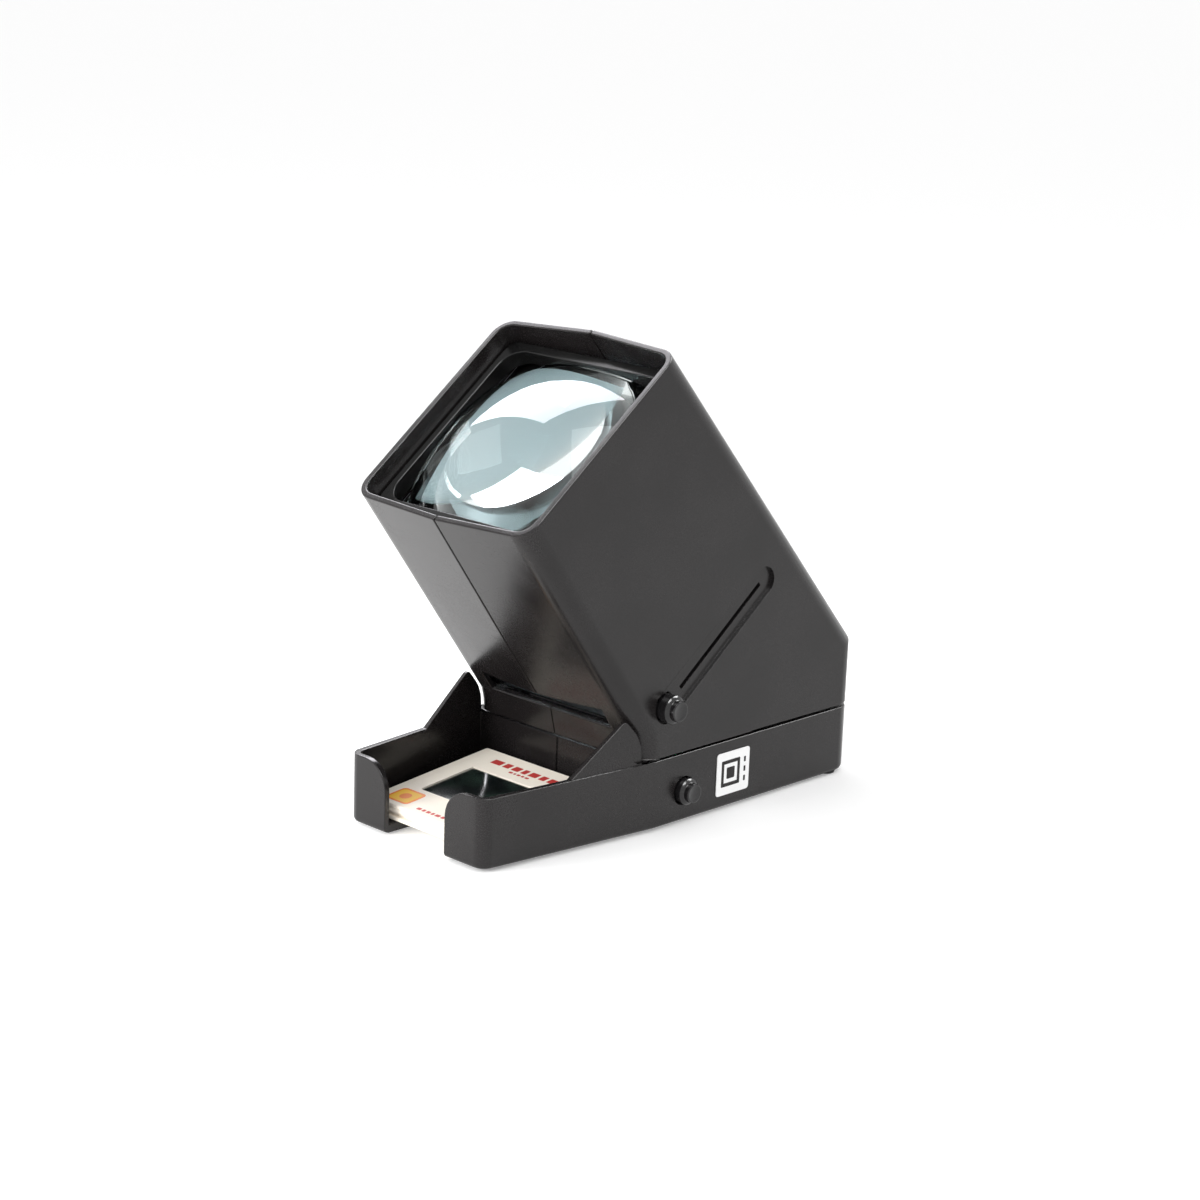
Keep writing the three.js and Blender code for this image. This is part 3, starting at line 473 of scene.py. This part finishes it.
def finish_node(name, node):
    """Gives a CAD node its material, rounded edges and smooth shading, all as modifiers."""
    node.data.materials.clear()
    node.data.materials.append(matching(NODE_MATERIALS, name))
    weld = node.modifiers.new("weld", "WELD")
    weld.merge_threshold = MERGE_DISTANCE
    if name not in KEEP_TRIANGLES:
        flat = node.modifiers.new("flat_faces", "DECIMATE")
        flat.decimate_type = "DISSOLVE"
        flat.angle_limit = FLAT_WITHIN
    radius = matching(ROUNDING, name)
    if radius:
        add_group(node, "edge_weights", weight_group)
        bevel = node.modifiers.new("rounding", "BEVEL")
        bevel.width = radius * MM
        bevel.segments = ROUNDING_STEPS
        bevel.limit_method = "WEIGHT"
        bevel.use_clamp_overlap = False
    for polygon in node.data.polygons:
        polygon.use_smooth = True
    add_group(node, "smooth_by_angle", smooth_group)
    weighted = node.modifiers.new("weighted", "WEIGHTED_NORMAL")
    weighted.keep_sharp = True


for node_name, node_object in NODES.items():
    finish_node(node_name, node_object)


# ---- new pieces ----
def new_mesh(name, vertices, faces, material, smooth=True):
    mesh = bpy.data.meshes.new(name)
    mesh.from_pydata([tuple(v) for v in vertices], [], faces)
    mesh.validate()
    bm = bmesh.new()
    bm.from_mesh(mesh)
    bmesh.ops.recalc_face_normals(bm, faces=bm.faces)
    bm.to_mesh(mesh)
    bm.free()
    mesh.materials.append(material)
    for polygon in mesh.polygons:
        polygon.use_smooth = smooth
    obj = bpy.data.objects.new(name, mesh)
    bpy.context.scene.collection.objects.link(obj)
    return obj


def box_corners(node):
    """A node's lowest corner, highest corner and middle."""
    low, high = map(Vector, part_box(node))
    return low, high, (low + high) / 2


# ---- lens ----
LENS_HALF, LENS_CORNER = 33.5, 8  # mm, half its width and its corners' radius
LENS_RADII = (75, 90)  # mm, eye side and slide side
LENS_TOP = 88.8  # mm above the gate, along the optical axis
LENS_EDGE = 2  # mm, its thickness at the corners
LENS_REACH = (LENS_HALF - LENS_CORNER) * math.sqrt(2) + LENS_CORNER
LENS_RINGS, LENS_SIDE_STEPS = 40, 14
LENS_EASE = 0.4  # mm, the rounding of its rim
LENS_EASE_STEPS, LENS_EASE_ABOVE = 2, math.radians(30)


def rounded_square(half, radius, steps):
    """Points round a square with rounded corners, anticlockwise, the straights divided too."""
    points = []
    for quarter in range(4):
        turn = Matrix.Rotation(quarter * math.pi / 2, 2)
        for i in range(steps):
            points.append(turn @ Vector((half, (half - radius) * (2 * i / steps - 1))))
        for i in range(steps):
            a = math.pi / 2 * i / steps
            corner = Vector((half - radius, half - radius))
            points.append(turn @ (corner + radius * Vector((math.cos(a), math.sin(a)))))
    return points


def sag(radius, r):
    """How far a sphere of this radius falls away at r from its axis."""
    return radius - math.sqrt(radius * radius - r * r)


def make_lens():
    """The square magnifier, with a spherical curve on both faces, in the gate frame."""
    outline = rounded_square(LENS_HALF, LENS_CORNER, LENS_SIDE_STEPS)
    eye_radius, slide_radius = LENS_RADII
    thick = sag(eye_radius, LENS_REACH) + sag(slide_radius, LENS_REACH) + LENS_EDGE
    vertices, faces, count = [], [], len(outline)
    for radius, apex, sign in ((eye_radius, LENS_TOP, 1), (slide_radius, LENS_TOP - thick, -1)):
        base = len(vertices)
        vertices.append(Vector((0, 0, apex)))
        for ring in range(1, LENS_RINGS + 1):
            share = math.sin(math.pi / 2 * ring / LENS_RINGS)
            for p in outline:
                q = p * share
                vertices.append(Vector((q.x, q.y, apex - sign * sag(radius, q.length))))
        for i in range(count):
            j = (i + 1) % count
            faces.append((base, base + 1 + i, base + 1 + j))
            for ring in range(LENS_RINGS - 1):
                a = base + 1 + ring * count
                faces.append((a + i, a + count + i, a + count + j, a + j))
    top = 1 + (LENS_RINGS - 1) * count
    bottom = top + 1 + LENS_RINGS * count
    for i in range(count):
        j = (i + 1) % count
        faces.append((top + i, bottom + i, bottom + j, top + j))
    lens = new_mesh("lens_optic", [GATE @ v for v in vertices], faces, LENS)
    bevel = lens.modifiers.new("edge", "BEVEL")
    bevel.width, bevel.segments = LENS_EASE * MM, LENS_EASE_STEPS
    bevel.limit_method, bevel.angle_limit = "ANGLE", LENS_EASE_ABOVE
    add_group(lens, "smooth_by_angle", smooth_group)
    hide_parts("magnifier_lens")
    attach(lens, "housing")


make_lens()

# ---- springs ----
BORE_END = 40  # mm, how deep the spring bores in both buttons go
SPRING_RADIUS, WIRE_RADIUS = 1.9, 0.28  # mm
SPRING_SEAT = 0.15  # mm, how far inboard of the CAD spring's end it starts
TURN_STEPS, WIRE_SIDES = 20, 8


def make_spring(name, node, turns):
    """A round-wire compression spring along X, from its seat to the button's bore, closed at both ends."""
    low, high, middle = box_corners(node)
    wire = WIRE_RADIUS
    start, end = low.x / MM - SPRING_SEAT + wire, BORE_END - wire
    steps = TURN_STEPS * (turns + 2)
    vertices = []
    for i in range(steps + 1):
        turn = i / TURN_STEPS
        climb = min(max((turn - 1) / turns, 0), 1)
        closed = wire * 2 * (min(turn, 1) - 1) if turn < 1 else wire * 2 * max(turn - 1 - turns, 0)
        x = start + wire * 2 + (end - start - wire * 4) * climb + closed
        a = 2 * math.pi * turn
        out = Vector((0, math.cos(a), math.sin(a)))
        centre = Vector((x, 0, 0)) + SPRING_RADIUS * out
        for k in range(WIRE_SIDES):
            b = 2 * math.pi * k / WIRE_SIDES
            vertices.append((centre + wire * (math.cos(b) * out + math.sin(b) * Vector((1, 0, 0)))) * MM)
    vertices = [v + Vector((0, middle.y, middle.z)) for v in vertices]
    faces = []
    for i in range(steps):
        for k in range(WIRE_SIDES):
            a, b = i * WIRE_SIDES + k, i * WIRE_SIDES + (k + 1) % WIRE_SIDES
            faces.append((a, b, b + WIRE_SIDES, a + WIRE_SIDES))
    faces.append(tuple(range(WIRE_SIDES)))
    faces.append(tuple(range(steps * WIRE_SIDES, (steps + 1) * WIRE_SIDES)))
    spring = new_mesh(name, vertices, faces, SPRING)
    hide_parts(node)
    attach(spring, "housing")
    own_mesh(spring)


make_spring("release_coil", "release_spring", turns=8)
make_spring("power_coil", "power_spring", turns=5)


# ---- prints ----
def flat_print(name, outline, place, thick, material, body):
    """A thin printed layer: the outline in mm, in the place's own X and Y, thick mm proud of it."""
    count = len(outline)
    vertices = [place @ Vector((x, y, z)) for z in (0, thick) for x, y in outline]
    faces = [tuple(range(count)), tuple(range(count, 2 * count))]
    faces += [(i, (i + 1) % count, count + (i + 1) % count, count + i) for i in range(count)]
    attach(new_mesh(name, vertices, faces, material, smooth=False), body)


def rounded_rectangle(x0, x1, y0, y1, radius, steps=5):
    corners = ((x1, y1, 0), (x0, y1, 1), (x0, y0, 2), (x1, y0, 3))
    points = []
    for x, y, quarter in corners:
        sx, sy = (1 if x == x1 else -1), (1 if y == y1 else -1)
        for i in range(steps + 1):
            a = math.pi / 2 * (quarter + i / steps)
            points.append((x - sx * radius + radius * math.cos(a), y - sy * radius + radius * math.sin(a)))
    return points


# The badge's own frame: X along the side towards the rear, Y up, Z out of the face.
badge_low, badge_high, badge_middle = box_corners("side_badge")
BADGE = (
    Matrix.Translation(Vector((badge_high.x, badge_middle.y, badge_middle.z)))
    @ Matrix(((0, 0, 1), (1, 0, 0), (0, 1, 0))).to_4x4()
    @ Matrix.Scale(MM, 4)
)
BADGE_INK = 0.04  # mm
BADGE_BARS = {  # mm: from and to along X, from and to along Y, corner radius
    "badge_frame_left": (-5.6, -4.4, -4.4, 4.4, 0.3),
    "badge_frame_right": (2.0, 3.2, -4.4, 4.4, 0.3),
    "badge_frame_top": (-4.6, 2.2, 3.2, 4.4, 0.3),
    "badge_frame_bottom": (-4.6, 2.2, -4.4, -3.2, 0.3),
    "badge_window": (-3.1, 0.7, -1.9, 1.9, 0.4),
}
RULES = 3
RULE_PITCH, RULE_HALF = 3.2, 0.9  # mm


def badge_mark():
    """A plain pictogram: a mounted slide's outline, its window, and a small rule beside it."""
    bars = dict(BADGE_BARS)
    for i in range(RULES):
        y = (i - 1) * RULE_PITCH
        bars[f"badge_rule_{i + 1}"] = (5.1, 6.0, y - RULE_HALF, y + RULE_HALF, 0.2)
    for name, bar in bars.items():
        flat_print(name, rounded_rectangle(*bar), BADGE, BADGE_INK, DARK_PRINT, "housing")


badge_mark()

# The top slide's own frame: X across, Y towards the rear, Z out of its face, its origin in the middle.
STACK_AT = (0, -51.65, 6.403)  # mm, on the tray's floor, under the middle of the stack
STACK_TILT = math.radians(6.1)  # the floor's slope
STACK_TOP = 5.5  # mm, from the floor to the top slide's face
TOP_SLIDE = (
    Matrix.Translation(Vector(STACK_AT) * MM)
    @ Matrix.Rotation(STACK_TILT, 4, "X")
    @ Matrix.Scale(MM, 4)
    @ Matrix.Translation(Vector((0, 0, STACK_TOP)))
)
DASH_CORNER = 0.3  # mm
SLIDE_INK, FIELD_INK, DOT_INK = 0.02, 0.035, 0.05  # mm above the face, each over the one before


def slide_prints():
    """A plain rounded label with a dot, and rows of dashes where a mount has its small print."""
    def mark(name, outline, material, thick=SLIDE_INK):
        flat_print(name, outline, TOP_SLIDE, thick, material, "slide_stack")

    def dashes(name, x, low, high, gap, widths):
        for i, width in enumerate(widths):
            mark(f"{name}_{i + 1}", rounded_rectangle(x, x + width, low, high, DASH_CORNER), RED_PRINT)
            x += width + gap

    mark("slide_label", rounded_rectangle(-21.6, -11.2, -22.9, -13.7, 1.6), ORANGE_PRINT)
    mark("slide_label_field", rounded_rectangle(-20.7, -12.1, -22, -14.6, 1.2), YELLOW_PRINT, FIELD_INK)
    mark("slide_label_dot", rounded_rectangle(-18.4, -14.4, -20.3, -16.3, 1.9), ORANGE_PRINT, DOT_INK)
    dashes("slide_mark_rear", -15.5, 17, 20, 1.1, (4.4, 2.8, 3.2, 2.2, 3.6, 2.6, 3.4, 2.4))
    dashes("slide_mark_middle", -5, 14.9, 15.9, 0.5, (1.6, 1.0, 1.4, 1.2, 1.6))
    dashes("slide_mark_front", -6.6, -23, -21.6, 0.6, (1.8, 1.3, 1.6, 1.2, 2.0, 1.5))


slide_prints()

# ---- floor and light ----
FLOOR_REACH = 20
LIGHT_POOL_AT = (-0.2, 0.02, 0)  # the floor glows round this point, out past the object's left side: a painted pool of light
LIGHT_POOL_STRENGTH, LIGHT_POOL_FULL_TO, LIGHT_POOL_ENDS_AT = 0.75, 0.1, 0.3
WORLD_STRENGTH = 1.08
# Place, aimed at, width and height, power, colour, in metres and watts. Softboxes light no matt surface.
SOFTBOXES = {
    "softbox_back": ((-0.75, 0.45, 0.95), (0, -0.02, 0.12), (0.9, 0.9), 23, (0.97, 0.95, 1)),
    "softbox_overhead": ((0.15, -0.2, 1.5), (0, -0.02, 0.1), (0.9, 0.9), 6, (1, 1, 1)),
    "softbox_edge": ((0.33, 0.93, 1.0), (0, -0.02, 0.08), (0.7, 0.7), 26, (1, 1, 1)),
    "softbox_right": ((0.8, -0.13, 1.05), (0.03, -0.02, 0.08), (0.6, 0.6), 16, (1, 1, 1)),
}
FILL = ((-0.35, -1.1, 0.42), (0, -0.05, 0.01), (0.7, 0.5), 14, (1, 1, 1))


def make_floor():
    """A white floor with a painted pool of light, glowing a little round the object's left side."""
    r = FLOOR_REACH
    floor = bpy.data.objects.new("floor", bpy.data.meshes.new("floor"))
    floor.data.from_pydata([(-r, -r, 0), (r, -r, 0), (r, r, 0), (-r, r, 0)], [], [(0, 1, 2, 3)])
    bpy.context.scene.collection.objects.link(floor)
    n = Nodes("floor_white")
    n.set(Base_Color=(0.9, 0.9, 0.9, 1), Roughness=0.9, Specular_IOR_Level=0.2)
    n.set(Emission_Color=(1, 1, 1, 1))
    away = n.vector("DISTANCE", n.coords, LIGHT_POOL_AT)
    # painted light: the floor's own glow makes a pool of light round the object's left side
    n.set(Emission_Strength=n.ramp(away, LIGHT_POOL_STRENGTH, 0.0, LIGHT_POOL_FULL_TO, LIGHT_POOL_ENDS_AT))
    floor.data.materials.append(n.material)


def area_light(name, at, aim, size, power, color):
    light = bpy.data.lights.new(name, "AREA")
    light.shape = "RECTANGLE"
    light.size, light.size_y = size
    light.energy = power
    light.color = color
    obj = bpy.data.objects.new(name, light)
    bpy.context.scene.collection.objects.link(obj)
    obj.location = at
    obj.rotation_mode = "QUATERNION"
    obj.rotation_quaternion = (Vector(aim) - Vector(at)).to_track_quat("-Z", "Y")
    obj.visible_camera = False
    return obj


def make_light():
    world = bpy.data.worlds.new("studio")
    bpy.context.scene.world = world
    world.use_nodes = True
    background = world.node_tree.nodes["Background"]
    background.inputs["Color"].default_value = (1, 1, 1, 1)
    background.inputs["Strength"].default_value = WORLD_STRENGTH
    for name, settings in SOFTBOXES.items():
        area_light(name, *settings).visible_diffuse = False
    area_light("fill_front", *FILL).visible_glossy = False
    bpy.context.scene.view_settings.view_transform = "Standard"


make_floor()
make_light()
